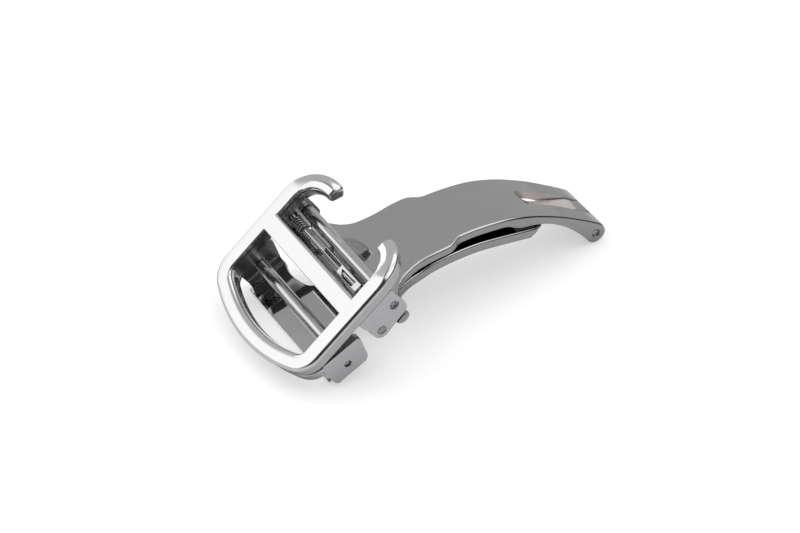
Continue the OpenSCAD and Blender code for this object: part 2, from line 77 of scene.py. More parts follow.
# Sizes that several sub-assemblies share, in millimetres and degrees.
@dataclass(frozen=True)
class Layout:
    """Where the cover, the cradle and the pins stand, from the middle of the strap bar.

    The hinge, the latch and the lug's heel are in the cover's own plane, the rest in the row frame.
    """

    cover_tilt: float = 39.6
    cover_rise: float = 3.729
    cradle_tilt: float = 26.9
    buckle: Point = (-5.84, -5.78)
    hinge: Point = (-3.03, -1.23)
    hinge_pin_r: float = 0.5
    latch: Point = (-1.57, 0.83)
    latch_pin_r: float = 0.35
    fold: Point = (30.78, -7.33)
    fold_r: float = 1.25
    fold_lean: float = 33.0
    lug_inner: float = 8.7
    lug_outer: float = 10.28
    lug_r: float = 1.04
    heel: Point = (0.1, -1.1)
    heel_r: float = 0.82
    cheek_inner: float = 9.25
    cheek_outer: float = 10.3
    tip_bore: float = 0.44
    pin_play: float = 0.04

    def cover(self, x: float, z: float) -> Point:
        """A point of the cover's own plane as X and Z in the row frame."""
        return tilted(x, z, self.cover_tilt)

    def cradle(self, x: float, z: float) -> Point:
        """A point of the cradle's own plane, whose origin is the buckle bar, as X and Z."""
        return tilted(x, z, self.cradle_tilt, self.buckle)

    def knee(self) -> Point:
        """Where the blades' tops run into the round knuckle at the fold."""
        a = math.radians(self.fold_lean)
        return self.fold[0] + self.fold_r * math.sin(a), self.fold[1] + self.fold_r * math.cos(a)


PLAN = Layout()


# Shader maths.


class Signal:
    """A shader socket that takes part in plain arithmetic."""

    def __init__(self, bench: "ShaderBench", socket: bpy.types.NodeSocket) -> None:
        """Wraps an output socket of the bench's node tree."""
        self.bench = bench
        self.socket = socket

    def _math(self, operation: str, *values: "Signal | float") -> "Signal":
        """Adds one Math node for an operation on two values."""
        return self.bench.node("ShaderNodeMath", dict(enumerate(values)), operation=operation)

    def __add__(self, other: "Signal | float") -> "Signal":
        """Sum."""
        return self._math("ADD", self, other)

    def __sub__(self, other: "Signal | float") -> "Signal":
        """Difference."""
        return self._math("SUBTRACT", self, other)

    def __rsub__(self, other: float) -> "Signal":
        """Difference, reflected."""
        return self._math("SUBTRACT", other, self)

    def __mul__(self, other: "Signal | float") -> "Signal":
        """Product."""
        return self._math("MULTIPLY", self, other)

    def above(self, other: "Signal | float") -> "Signal":
        """The larger of this and another value."""
        return self._math("MAXIMUM", self, other)

    def below(self, other: float) -> "Signal":
        """The smaller of this and a number."""
        return self._math("MINIMUM", self, other)

    def step(self, start: float, end: float, height: float) -> "Signal":
        """A smooth step from 0 at one value to a height at another."""
        sockets = {"Value": self, "From Min": start, "From Max": end, "To Min": 0.0, "To Max": height}
        return self.bench.node("ShaderNodeMapRange", sockets, interpolation_type="SMOOTHSTEP")


class ShaderBench:
    """Adds nodes to one node tree and links them."""

    def __init__(self, tree: bpy.types.NodeTree) -> None:
        """Starts on an emptied tree."""
        self.tree = tree
        tree.nodes.clear()

    def node(self, kind: str, inputs: dict | None = None, out: int | str = 0,
             **settings: object) -> Signal:
        """Adds a node of any type.

        Args:
            kind: the node's type.
            inputs: values or signals by socket name or number.
            out: the output socket that the result wraps.
            settings: the node's properties, which are set first.

        Returns:
            The chosen output as a signal.
        """
        made = self.tree.nodes.new(kind)
        for name, value in settings.items():
            setattr(made, name, value)
        for key, value in (inputs or {}).items():
            if isinstance(value, Signal):
                self.tree.links.new(value.socket, made.inputs[key])
            else:
                made.inputs[key].default_value = value
        return Signal(self, made.outputs[out])

    def finish(self, kind: str, surface: Signal) -> None:
        """Links a shader to the tree's output node."""
        output = self.tree.nodes.new(kind)
        self.tree.links.new(surface.socket, output.inputs["Surface"])


# Finishes.


class Grain(Enum):
    """Which way the fine lines of a finish run, as a stretch along X, Y and Z."""

    NONE = (1.0, 1.0, 1.0)
    ALONG = (0.05, 1.0, 1.0)


@dataclass(frozen=True)
class Look:
    """A finished material and the record's slot that it fills."""

    slot: str
    material: bpy.types.Material


@dataclass(frozen=True)
class Steel:
    """A steel finish.

    Attributes:
        slot: the record's material slot.
        colour: base colour.
        rough: mean roughness.
        grain: which way its fine lines run.
        lines: height of the lines, from 0 to 1.
        tint: how much the colour wanders.
    """

    slot: str
    colour: Colour
    rough: float
    grain: Grain = Grain.NONE
    lines: float = 0.02
    tint: float = 0.05

    def make(self) -> Look:
        """Builds a node material that varies over the surface by Object coordinates."""
        material = bpy.data.materials.new(f"{self.slot}_{round(self.colour[0] * 100)}")
        material.use_nodes = True
        bench = ShaderBench(material.node_tree)
        place = bench.node("ShaderNodeTexCoord", out="Object")
        stretched = bench.node("ShaderNodeMapping", {"Vector": place, "Scale": self.grain.value})
        cloud = bench.node("ShaderNodeTexNoise", {"Vector": place, "Scale": 420.0, "Detail": 4.0})
        fine = bench.node("ShaderNodeTexNoise", {"Vector": stretched, "Scale": 9000.0, "Detail": 3.0})
        pits = bench.node("ShaderNodeTexVoronoi", {"Vector": place, "Scale": 900.0})
        # Wiped patches shift the colour and the roughness, and the roughness also has lines and specks.
        wipe = (cloud - 0.5) * 2
        speck = (1 - (pits * 9).below(1.0)) * 0.35
        worn = tuple(c * (1 - self.tint) for c in self.colour)
        share = (wipe * 0.8 + 0.5).above(0.0).below(1.0)
        tone = bench.node("ShaderNodeMix", {0: share, 6: (*worn, 1), 7: (*self.colour, 1)}, out=2,
                          data_type="RGBA")
        rough = (wipe * 0.35 + 1 + (fine - 0.5) * 0.3 + speck) * self.rough
        bump = bench.node("ShaderNodeBump", {"Height": fine + cloud * 0.4, "Strength": self.lines,
                                             "Distance": 0.00002})
        shader = bench.node("ShaderNodeBsdfPrincipled", {
            "Base Color": tone, "Roughness": rough, "Metallic": 1.0, "Normal": bump})
        bench.finish("ShaderNodeOutputMaterial", shader)
        return Look(self.slot, material)


# Modelling.


def select_only(piece: bpy.types.Object) -> None:
    """Makes one object the only selected and the active one."""
    bpy.ops.object.select_all(action="DESELECT")
    piece.select_set(True)
    bpy.context.view_layer.objects.active = piece


def spline(stations: list[Point], steps: int) -> list[Point]:
    """A smooth line through measured stations.

    Args:
        stations: points that the line passes.
        steps: points for each span.

    Returns:
        The line's points, the last station included.
    """
    line: list[Point] = []
    last = len(stations) - 1
    for i in range(last):
        a, b = Vector(stations[max(i - 1, 0)]), Vector(stations[i])
        c, d = Vector(stations[i + 1]), Vector(stations[min(i + 2, last)])
        for k in range(steps):
            t = k / steps
            q = 0.5 * (2 * b + (c - a) * t + (2 * a - 5 * b + 4 * c - d) * t ** 2
                       + (3 * b - a - 3 * c + d) * t ** 3)
            line.append((q.x, q.y))
    line.append(stations[-1])
    return line


def mix(a: float, b: float, share: float) -> float:
    """The value between two others at a share of the way."""
    return a + (b - a) * share


def height_at(line: list[Point], x: float) -> float:
    """The height of a line of rising X at x, held level beyond its ends."""
    if x <= line[0][0]:
        return line[0][1]
    for (x0, z0), (x1, z1) in zip(line, line[1:]):
        if x <= x1:
            return z0 + (z1 - z0) * (x - x0) / max(x1 - x0, 1e-9)
    return line[-1][1]


def arc(centre: Point, radius: float, start: float, end: float, steps: int) -> list[Point]:
    """Points of an arc from one angle to another, in degrees."""
    angles = [math.radians(start + (end - start) * k / steps) for k in range(steps + 1)]
    return [(centre[0] + radius * math.cos(a), centre[1] + radius * math.sin(a)) for a in angles]


def rounded(corners: list[tuple[float, float, float]], steps: int = 6) -> list[Point]:
    """An outline whose corners are rounded.

    Args:
        corners: X, Z and radius of each corner, in order.
        steps: spans in each rounding.

    Returns:
        The outline's points.
    """
    outline: list[Point] = []
    for i, (x, z, r) in enumerate(corners):
        here = Vector((x, z))
        before = Vector(corners[i - 1][:2]) - here
        after = Vector(corners[(i + 1) % len(corners)][:2]) - here
        if r <= 0:
            outline.append((x, z))
            continue
        half = before.angle(after) / 2
        reach = min(r / math.tan(half), before.length * 0.49, after.length * 0.49)
        p, q = here + before.normalized() * reach, here + after.normalized() * reach
        for k in range(steps + 1):
            t = k / steps
            point = (1 - t) ** 2 * p + 2 * t * (1 - t) * here + t ** 2 * q
            outline.append((point.x, point.y))
    return outline


def shaft(left: float, right: float) -> list[Point]:
    """The outline in X and Z of a cutter that goes through both blades between two X."""
    return [(left, UNDER), (right, UNDER), (right, OVER), (left, OVER)]


def both_sides(inner: float, outer: float) -> tuple[Point, Point]:
    """The two stretches of Y between two half widths, the near one first."""
    return (-outer, -inner), (inner, outer)


def both_ends(reach: float, radius: float, ends: list[Point]) -> list[Point]:
    """Y and radius of a turned piece with like ends, given as depth from the end and loss of radius."""
    near = [(depth - reach, radius - less) for depth, less in ends]
    return near + [(-y, r) for y, r in reversed(near)]


class Workpiece:
    """One mesh that is shaped in millimetres and then handed to the frame in metres."""

    def __init__(self, name: str, rings: list[list[Vector]]) -> None:
        """Extrudes a first face through a row of rings of equal length."""
        bpy.ops.object.select_all(action="DESELECT")
        bpy.ops.mesh.primitive_circle_add(vertices=len(rings[0]), radius=1.0, fill_type="NGON")
        self.obj = bpy.context.object
        self.obj.name = name
        bpy.ops.object.mode_set(mode="EDIT")
        bpy.ops.mesh.select_all(action="SELECT")
        self._lay(rings[0])
        for ring in rings[1:]:
            bpy.ops.mesh.extrude_region_move()
            self._lay(ring)
        bpy.ops.mesh.select_all(action="SELECT")
        bpy.ops.mesh.remove_doubles(threshold=0.0005)
        bpy.ops.mesh.normals_make_consistent(inside=False)
        bpy.ops.object.mode_set(mode="OBJECT")

    def _lay(self, ring: list[Vector]) -> None:
        """Puts the selected face's corners on a ring."""
        mesh = bmesh.from_edit_mesh(self.obj.data)
        face = next(f for f in mesh.faces if f.select)
        for corner, place in zip(face.verts, ring):
            corner.co = place
        bmesh.update_edit_mesh(self.obj.data)

    @classmethod
    def plate(cls, name: str, outline: list[Point], y0: float, y1: float) -> "Workpiece":
        """A flat plate with its outline in X and Z, from y0 to y1."""
        return cls(name, [[Vector((x, y, z)) for x, z in outline] for y in (y0, y1)])

    @classmethod
    def slab(cls, name: str, outline: list[Point], z0: float, z1: float) -> "Workpiece":
        """A flat slab with its outline in X and Y, from z0 to z1."""
        return cls(name, [[Vector((x, y, z)) for x, y in outline] for z in (z0, z1)])

    @classmethod
    def turned(cls, name: str, centre: Point, steps: list[Point], sides: int = 40) -> "Workpiece":
        """A turned piece along Y, from the radius at each Y."""
        rings = [[Vector((centre[0] + r * math.cos(a), y, centre[1] + r * math.sin(a)))
                  for a in (2 * math.pi * k / sides for k in range(sides))] for y, r in steps]
        return cls(name, rings)

    def modify(self, kind: str, **settings: object) -> "Workpiece":
        """Adds a modifier and applies it."""
        select_only(self.obj)
        added = self.obj.modifiers.new(kind.lower(), kind)
        for key, value in settings.items():
            setattr(added, key, value)
        bpy.ops.object.modifier_apply(modifier=added.name)
        return self

    def cut(self, tool: "Workpiece") -> "Workpiece":
        """Takes another workpiece away and scraps it."""
        self.modify("BOOLEAN", operation="DIFFERENCE", solver="EXACT", object=tool.obj)
        bpy.data.objects.remove(tool.obj)
        return self

    def weld(self, other: "Workpiece") -> "Workpiece":
        """Adds another workpiece as one solid with this and scraps it."""
        self.modify("BOOLEAN", operation="UNION", solver="EXACT", object=other.obj)
        bpy.data.objects.remove(other.obj)
        return self

    def join(self, other: "Workpiece") -> "Workpiece":
        """Takes another workpiece in as a separate shell of the same piece."""
        select_only(self.obj)
        other.obj.select_set(True)
        bpy.ops.object.join()
        return self

    def bore(self, centre: Point, radius: float, y0: float, y1: float) -> "Workpiece":
        """Drills a hole along Y."""
        return self.cut(Workpiece.turned("drill", centre, [(y0, radius), (y1, radius)], 32))

    def bevel(self, width: float, segments: int = 2) -> "Workpiece":
        """Breaks every edge sharper than 40 degrees."""
        self.clean()
        return self.modify("BEVEL", width=width, segments=segments, limit_method="ANGLE",
                           angle_limit=math.radians(40), use_clamp_overlap=True,
                           miter_outer="MITER_ARC")

    def clean(self) -> "Workpiece":
        """Merges doubles and slivers that a cut left."""
        select_only(self.obj)
        bpy.ops.object.mode_set(mode="EDIT")
        bpy.ops.mesh.select_all(action="SELECT")
        bpy.ops.mesh.remove_doubles(threshold=0.002)
        bpy.ops.mesh.dissolve_degenerate(threshold=0.002)
        bpy.ops.object.mode_set(mode="OBJECT")
        return self

    def tilt(self, degrees: float, origin: Point = (0.0, 0.0)) -> "Workpiece":
        """Turns the mesh about Y so that its right end rises, then moves it to its plane's origin."""
        turn = Matrix.Rotation(-math.radians(degrees), 4, "Y")
        self.obj.data.transform(Matrix.Translation((origin[0], 0, origin[1])) @ turn)
        return self

    def mirrored(self, name: str) -> "Workpiece":
        """A copy on the other side of the middle plane, with its own mesh."""
        select_only(self.obj)
        bpy.ops.object.duplicate()
        twin = Workpiece.__new__(Workpiece)
        twin.obj = bpy.context.object
        twin.obj.name = name
        twin.obj.data.transform(Matrix.Scale(-1, 4, (0, 1, 0)))
        bpy.ops.object.mode_set(mode="EDIT")
        bpy.ops.mesh.select_all(action="SELECT")
        bpy.ops.mesh.normals_make_consistent(inside=False)
        bpy.ops.object.mode_set(mode="OBJECT")
        return twin

    def dress_flanks(self, look: Look) -> None:
        """Gives the faces that look along Y a second finish."""
        self.obj.data.materials.append(look.material)
        for face in self.obj.data.polygons:
            face.material_index = int(abs(face.normal.y) > 0.9)

    def dress_within(self, look: Look, left: float, right: float, half: float) -> None:
        """Gives the faces between two X and within a half width another finish."""
        self.obj.data.materials.append(look.material)
        for face in self.obj.data.polygons:
            corners = [self.obj.data.vertices[i].co / MM for i in face.vertices]
            if all(left < c.x < right and abs(c.y) < half for c in corners):
                face.material_index = len(self.obj.data.materials) - 1

    def hand_over(self, body: str, look: Look, node: str, smooth: float = 35.0) -> None:
        """Smooths, dresses and registers the piece.

        Args:
            body: the body that it rides on.
            look: its finish.
            node: the solid that it stands for.
            smooth: edges flatter than this angle are shaded smooth.
        """
        self.obj.data.transform(Matrix.Scale(MM, 4))
        select_only(self.obj)
        bpy.ops.object.shade_smooth_by_angle(angle=math.radians(smooth))
        self.modify("WEIGHTED_NORMAL", keep_sharp=True)
        self.obj.data.materials.clear()
        self.obj.data.materials.append(look.material)
        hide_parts(node)
        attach(self.obj, body)
        LOG.info("%s: %d faces, on %s", self.obj.name, len(self.obj.data.polygons), body)


# Finishes of this clasp.


class Finishes:
    """The clasp's finishes, each made once."""

    def __init__(self) -> None:
        """Makes every finish."""
        self.top = Steel("polished_cover", (0.8, 0.8, 0.805), 0.17, lines=0.01).make()
        self.side = Steel("cover_side", (0.62, 0.61, 0.63), 0.2).make()
        self.plate = Steel("plate_steel", (0.67, 0.665, 0.69), 0.26, Grain.ALONG, 0.015).make()
        self.tray = Steel("plate_steel", (0.58, 0.57, 0.57), 0.05, Grain.ALONG, 0.01).make()
        self.blade = Steel("blade_steel", (0.55, 0.545, 0.54), 0.05, Grain.ALONG, 0.01).make()
        # The blades' flanks: a rougher finish, and a darker colour that is painted shade on the same steel
        # as the top.
        self.edge = Steel("blade_steel", (0.46, 0.455, 0.46), 0.25, Grain.ALONG).make()
        # Near-white steel on the slot's walls and the tongue: a painted reflection of bright light on the
        # same blade steel.
        self.slot = Steel("blade_steel", (0.93, 0.89, 0.87), 0.4, Grain.ALONG).make()
        self.bar = Steel("bar_steel", (0.66, 0.66, 0.66), 0.12).make()
        self.bright_pin = Steel("pin_steel", (0.66, 0.66, 0.66), 0.12).make()
        self.pin = Steel("pin_steel", (0.42, 0.42, 0.43), 0.2, lines=0.03).make()
        self.spring = Steel("spring_steel", (0.35, 0.35, 0.35), 0.22).make()


# Cover.


@dataclass(frozen=True)
class Station:
    """A place on the cover's run: its middle, its heading and how far along an arm it is."""

    x: float
    y: float
    heading: float
    arm: float

    def beside(self, out: float) -> Point:
        """The point that lies some way out of the D from the run's middle."""
        side = self.heading + math.pi / 2
        return self.x + math.cos(side) * out, self.y + math.sin(side) * out


@dataclass
class Cover:
    """The hinged cover: frame, band, lugs and pins.

    Attributes:
        arm_gap: half the gap between the tips of the hooked arms.
        arm_taper, arm_thin, arm_dip, arm_turn, arm_axis, arm_curl: how the tips narrow, thin, dip,
            turn about an axis under the frame, and draw in to the left.
        dip_start, curl_start: where along an arm that begins.
        band_back, ledge: how far the band stands back outside and out inside.
        roll_w, roll_t: the frame's outer edge at the rails and at the tips.
        lip_w, lip_t, lip_tip: its inner edge at the rails and at the bow, and its width at the tips.
        hinge_sink, bar_sink: radius and depth of the lugs' counterbores.
        steps: spans of the bow, a corner and an arm's bend.
    """

    rail_y: float = 9.32
    rail_w: float = 2.0
    bow_x: float = -13.4
    bow_r: float = 20.0
    bow_corner: float = 2.4
    arm_x: float = 4.25
    arm_corner: float = 3.9
    arm_gap: float = 5.15
    arm_taper: float = 0.97
    arm_thin: float = 0.12
    arm_dip: float = 1.1
    arm_turn: float = 31.0
    arm_axis: float = 0.23
    arm_curl: float = 0.34
    dip_start: float = 0.16
    curl_start: float = 0.45
    tip_round: float = 0.4
    tip_draw: float = 0.25
    crossbar_x: float = -4.47
    crossbar_w: float = 2.2
    frame_t: float = 0.62
    band_t: float = 1.13
    band_back: float = 0.02
    ledge: float = 0.15
    roll_w: Point = (0.6, 0.95)
    roll_t: Point = (0.5, 0.54)
    lip_w: Point = (0.2, 0.8)
    lip_t: Point = (0.18, 0.4)
    lip_tip: float = 0.7
    hinge_sink: Point = (0.56, 0.12)
    bar_sink: Point = (0.575, 0.3)
    steps: tuple[int, int, int] = (18, 12, 24)

    def arm_length(self) -> float:
        """The length of an arm's middle line."""
        return self.arm_corner * math.pi / 2 + self.rail_y - self.arm_corner - self.arm_gap

    def bend(self) -> Point:
        """The angle that half the bow covers, and the X at which the bend to the rail ends."""
        reach = self.bow_r - self.bow_corner
        turn = math.asin((self.rail_y - self.bow_corner) / reach)
        return turn, self.bow_x + self.bow_r - reach * math.cos(turn)

    def half_run(self) -> list[Station]:
        """The run from the middle of the left end to the far arm's tip."""
        turn, bend_x = self.bend()
        arm_bend, length = self.arm_x - self.arm_corner, self.arm_length()
        bow_steps, bend_steps, arm_steps = self.steps
        run = []
        for k in range(bow_steps + 1):
            a = turn * k / bow_steps
            run.append(Station(self.bow_x + self.bow_r * (1 - math.cos(a)), self.bow_r * math.sin(a),
                               math.pi / 2 - a, 0.0))
        for k in range(1, bend_steps + 1):
            h = (math.pi / 2 - turn) * (1 - k / bend_steps)
            run.append(Station(bend_x - self.bow_corner * math.sin(h),
                               self.rail_y - self.bow_corner * (1 - math.cos(h)), h, 0.0))
        for k in range(arm_steps + 1):
            h = -math.pi / 2 * k / arm_steps
            run.append(Station(arm_bend - self.arm_corner * math.sin(h),
                               self.rail_y - self.arm_corner * (1 - math.cos(h)), h,
                               -self.arm_corner * h / length))
        # The stations close up towards the rounded tip.
        for share in (0.25, 0.45, 0.62, 0.76, 0.87, 0.95, 1.0):
            y = mix(self.rail_y - self.arm_corner, self.arm_gap, share)
            run.append(Station(self.arm_x, y, -math.pi / 2, 1 - (y - self.arm_gap) / length))
        return run

    def full_run(self) -> list[Station]:
        """The run from the near arm's tip round to the far one's."""
        half = self.half_run()
        near = [Station(s.x, -s.y, math.pi - s.heading, s.arm) for s in reversed(half[1:])]
        return near + half

    @staticmethod
    def ease(arm: float, start: float) -> float:
        """How far something that begins at a start along an arm has gone, from 0 to 1 at its tip."""
        return 0.0 if arm <= start else ((arm - start) / (1 - start)) ** 1.1

    def dip(self, arm: float) -> float:
        """How far the dip and the turn of an arm have gone."""
        return self.ease(arm, self.dip_start)

    def inset(self, arm: float) -> float:
        """How far the rounding of the tip has drawn the section in."""
        k = 1 - min((1 - arm) * self.arm_length(), self.tip_round) / self.tip_round
        return self.tip_draw * (1 - math.sqrt(1 - k * k))

    def ring(self, s: Station, section: list[Point]) -> list[Vector]:
        """The section set at a station: out of the D and up from the frame's top."""
        dip, inset = self.dip(s.arm), self.inset(s.arm)
        turn = math.radians(self.arm_turn * dip)
        wide = 1 - (1 - self.arm_taper) * min(1.0, s.arm * 2) - inset
        thin = 1 - self.arm_thin * dip
        curl = self.arm_curl * self.ease(s.arm, self.curl_start)
        mid = -self.frame_t - self.arm_axis
        ring = []
        for u, v in section:
            u, v = u * wide, (v - mid) * thin * (1 - inset)
            x, y = s.beside(u * math.cos(turn) + v * math.sin(turn))
            up = -u * math.sin(turn) + v * math.cos(turn) + mid * thin
            ring.append(Vector((x - curl, y, PLAN.cover_rise + up - self.arm_dip * dip)))
        return ring

    def frame_section(self, s: Station) -> list[Point]:
        """Section of the polished frame at a station: flat top, rolled outer edge, softer inner edge.

        The inner edge is an ellipse, widest at the bow. Along an arm it becomes a straight facet that
        stays level while the arm turns.

        Returns:
            Distances out of the run's middle and up from the frame's top.
        """
        h, foot, dip = self.rail_w / 2, -self.frame_t, self.dip(s.arm)
        bow = max(math.sin(s.heading), 0.0)
        flat = min(1.0, dip * 3)
        roll_w, roll_t = mix(*self.roll_w, dip), mix(*self.roll_t, dip)
        lip_w = mix(mix(*self.lip_w, bow), self.lip_tip, flat)
        facet = lip_w * math.tan(math.radians(self.arm_turn * dip + 2))
        lip_t = mix(mix(*self.lip_t, bow), facet, flat)
        inner = []
        for k in range(10):
            a = math.radians(10 * k)
            inner.append((-h + lip_w * mix(1 - math.cos(a), k / 9, flat),
                          -lip_t * mix(1 - math.sin(a), 1 - k / 9, flat)))
        outer = [(h - roll_w * (1 - math.sin(a)), -roll_t * (1 - math.cos(a)))
                 for a in (math.radians(7.5 * k) for k in range(13))]
        chamfer = 0.015
        return [(-h, foot)] + inner + outer + [(h, foot + chamfer), (h - chamfer, foot)]

    def band_section(self, arm: float) -> list[Point]:
        """Section of the band under the frame, with the fine groove above it."""
        dip = self.dip(arm)
        out = self.rail_w / 2 - self.band_back
        inner = self.rail_w / 2 - self.band_back / 2 + self.ledge * (1 - dip)
        top, foot, chamfer, r = -self.frame_t, -self.frame_t - self.band_t, 0.02, mix(0.12, 0.45, dip)
        return ([(-inner, top), (out - chamfer, top), (out, top - chamfer)]
                + arc((out - r, foot + r), r, 0, -90, 6) + arc((-inner + r, foot + r), r, -90, -180, 6))

    def build_frame(self, looks: Finishes) -> None:
        """The polished frame with its crossbar and hooked arms."""
        rings = [self.ring(s, self.frame_section(s)) for s in self.full_run()]
        piece = Workpiece("cover_frame_polished", rings)
        left, right = self.crossbar_x, self.crossbar_x + self.crossbar_w
        top, foot = PLAN.cover_rise, PLAN.cover_rise - self.frame_t
        outline = rounded([(left, foot, 0), (left, top, 0.16), (right, top, 0.3), (right, foot, 0)])
        bar = Workpiece.plate("crossbar", outline, -self.rail_y, self.rail_y)
        piece.weld(bar).clean().tilt(PLAN.cover_tilt)
        piece.hand_over("cover", looks.top, "cover_frame", smooth=32)

    def build_band(self, looks: Finishes) -> None:
        """The band that carries the frame and the lugs."""
        rings = [self.ring(s, self.band_section(s.arm)) for s in self.full_run()]
        piece = Workpiece("cover_band_side", rings).tilt(PLAN.cover_tilt)
        piece.hand_over("cover", looks.side, "cover_band")

    def lug(self) -> Workpiece:
        """The far lug with its bores and broken edges."""
        foot = PLAN.cover_rise - self.frame_t - self.band_t
        left = PLAN.hinge[0] - PLAN.lug_r
        outline = ([(left + 0.1, 0.6), (left + 0.1, 0.1), (left, -0.2)]
                   + arc(PLAN.hinge, PLAN.lug_r, 180, 270, 10) + arc(PLAN.heel, PLAN.heel_r, 270, 360, 8)
                   + [(1.2, foot - 0.3), (1.2, foot), (left, foot), (left, 0.9)])
        piece = Workpiece.plate("lug", outline, PLAN.lug_inner, PLAN.lug_outer)
        piece.bore((0, 0), PLAN.tip_bore, PLAN.lug_inner - PAST, PLAN.lug_outer + PAST)
        for centre, (radius, depth) in (((0, 0), self.bar_sink), (PLAN.hinge, self.hinge_sink)):
            piece.bore(centre, radius, PLAN.lug_outer - depth, PLAN.lug_outer + PAST)
        return piece.bevel(0.07).tilt(PLAN.cover_tilt)

    def build_lugs(self, looks: Finishes) -> None:
        """Both lugs."""
        far = self.lug()
        near = far.mirrored("lug_near_plate")
        far.obj.name = "lug_far_plate"
        far.hand_over("cover", looks.plate, "lug_far")
        near.hand_over("cover", looks.plate, "lug_near")

    def build_pins(self, looks: Finishes) -> None:
        """Hinge pin and latch pin with broken ends."""
        for name, centre, radius, reach, look in (
                ("hinge_pin", PLAN.hinge, PLAN.hinge_pin_r, PLAN.lug_outer, looks.pin),
                ("latch_pin", PLAN.latch, PLAN.latch_pin_r, PLAN.lug_inner + 0.8, looks.bright_pin)):
            profile = both_ends(reach, radius, [(0, 0.1), (0.03, 0.04), (0.1, 0)])
            piece = Workpiece.turned(name + "_turned", centre, profile).tilt(PLAN.cover_tilt)
            piece.hand_over("cover", look, name)

    def build(self, looks: Finishes) -> None:
        """Builds and dresses the cover."""
        self.build_frame(looks)
        self.build_band(looks)
        self.build_lugs(looks)
        self.build_pins(looks)


# Sprung bars.


@dataclass
class SprungBar:
    """A tube between two faces, with a sprung tip at each end.

    Attributes:
        inner, outer: Y of the far side's two faces.
        play, bore_play: room between tube and face, and round a tip in the tube.
        tip_in, tip_back: how far a tip starts inside the inner face and ends short of the outer one.
    """

    name: str
    body: str
    centre: Point
    inner: float
    outer: float
    radius: float = 0.75
    tip_radius: float = 0.4
    play: float = 0.1
    bore_play: float = 0.04
    tip_in: float = 1.2
    tip_back: float = 0.3

    def build(self, looks: Finishes) -> None:
        """Builds the tube with its crimped ends and the two tips."""
        end, bore = self.inner - self.play, self.tip_radius + self.bore_play
        profile = both_ends(end, self.radius, [(0, self.radius - bore), (0, 0.14), (0.04, 0.05), (0.14, 0)])
        tube = Workpiece.turned(self.name + "_turned", self.centre, profile, 56)
        for y0, y1 in both_sides(end - 0.3, end + PAST):
            tube.bore(self.centre, bore, y0, y1)
        tube.hand_over(self.body, looks.bar, self.name + "_tube")
        start, stop, r = self.inner - self.tip_in, self.outer - self.tip_back, self.tip_radius
        for side, word in ((-1, "near"), (1, "far")):
            profile = [(side * y, radius) for y, radius in (
                (start, r), (stop - 0.1, r), (stop - 0.03, r - 0.03), (stop, r - 0.1), (stop - 0.05, 0.12))]
            tip = Workpiece.turned(f"{self.name}_tip_{word}_turned", self.centre, profile, 32)
            tip.hand_over(f"{self.name.split('_')[0]}_tip_{word}", looks.pin, f"{self.name}_tip_{word}")


# Latch.


@dataclass
class Latch:
    """The latch: windowed hub on its pin, hooked arm, and the two torsion springs.

    Attributes:
        hub_near, hub_frame, hub_far: how far off the middle the hub and its level top end.
        hub_slope: how far its sloped top falls to the left.
        nose: the arm's lowest point, as X and Z in the row frame.
        wire, coil, coil_gap: a spring's wire radius, length and gap to the lug.
    """

    hub_near: float = 6.0
    hub_frame: float = 2.0
    hub_far: float = 1.6
    hub_size: float = 1.24
    hub_slope: float = 0.5
    nose: Point = (0.0995, -4.716)
    arm_half: float = 1.2
    wire: float = 0.14
    turns: int = 5
    coil: float = 2.12
    coil_gap: float = 0.29

    def hub_outline(self, slope: float, corner: float) -> list[Point]:
        """The hub's outline, whose top falls by a slope to a rounded corner at the left."""
        h = self.hub_size / 2
        x, z = PLAN.latch
        return rounded([(x - h, z - h, 0.3), (x + h, z - h, 0.15), (x + h, z + h, 0.1),
                        (x - h, z + h - slope, corner)])

    def arm(self) -> Workpiece:
        """The arm from the hub down to the nose."""
        (px, pz), (x, z) = PLAN.cover(*PLAN.latch), self.nose
        outline = rounded([(px - 0.3, pz - 0.4, 0), (x - 0.5, z + 1.9, 0.3), (x - 0.3, z + 0.3, 0.2),
                           (x, z, 0.15), (x + 0.25, z + 0.3, 0.2), (x + 0.1, z + 2.2, 0.5),
                           (px + 0.55, pz - 0.35, 0)])
        return Workpiece.plate("arm", outline, -self.arm_half, self.arm_half).bevel(0.08)

    def build_hub(self, looks: Finishes) -> None:
        """The hub with its window and the arm that drops into the neck."""
        x, z = PLAN.latch
        hub = Workpiece.plate("latch_steel", self.hub_outline(0, 0.1), -self.hub_near, -self.hub_frame)
        hub.weld(Workpiece.plate("sloped", self.hub_outline(self.hub_slope, 0.2),
                                 -self.hub_frame - 0.2, self.hub_far))
        window = [(x + 0.28, -2.35), (x - 0.42, -2.95), (x - 0.36, -5.1), (x + 0.4, -5.2)]
        hub.cut(Workpiece.slab("window", window, z - 0.3, z + 2))
        hub.bore(PLAN.latch, PLAN.latch_pin_r + PLAN.pin_play, -self.hub_near - PAST, self.hub_far + PAST)
        hub.bevel(0.06).tilt(PLAN.cover_tilt).weld(self.arm())
        hub.hand_over("latch", looks.bar, "latch_pawl")

    def spring(self, name: str, start: float, looks: Finishes) -> None:
        """One torsion spring, wound as an unbroken wire."""
        x, z = PLAN.latch
        radius, per_turn, sides = PLAN.latch_pin_r + self.wire + 0.05, 20, 10
        rings = []
        for k in range(self.turns * per_turn + 1):
            a = 2 * math.pi * k / per_turn
            middle = Vector((x, start + self.coil * k / (self.turns * per_turn), z))
            out = Vector((math.cos(a), 0, math.sin(a)))
            rings.append([middle + out * (radius + self.wire * math.cos(b))
                          + Vector((0, self.wire * math.sin(b), 0))
                          for b in (2 * math.pi * j / sides for j in range(sides))])
        piece = Workpiece(name + "_wound", rings).tilt(PLAN.cover_tilt)
        piece.hand_over("cover", looks.spring, name, smooth=60)

    def build(self, looks: Finishes) -> None:
        """Builds and dresses the latch."""
        self.build_hub(looks)
        lug = PLAN.lug_inner - self.coil_gap
        self.spring("latch_spring_near", -lug, looks)
        self.spring("latch_spring_far", lug - self.coil, looks)


# Blades.


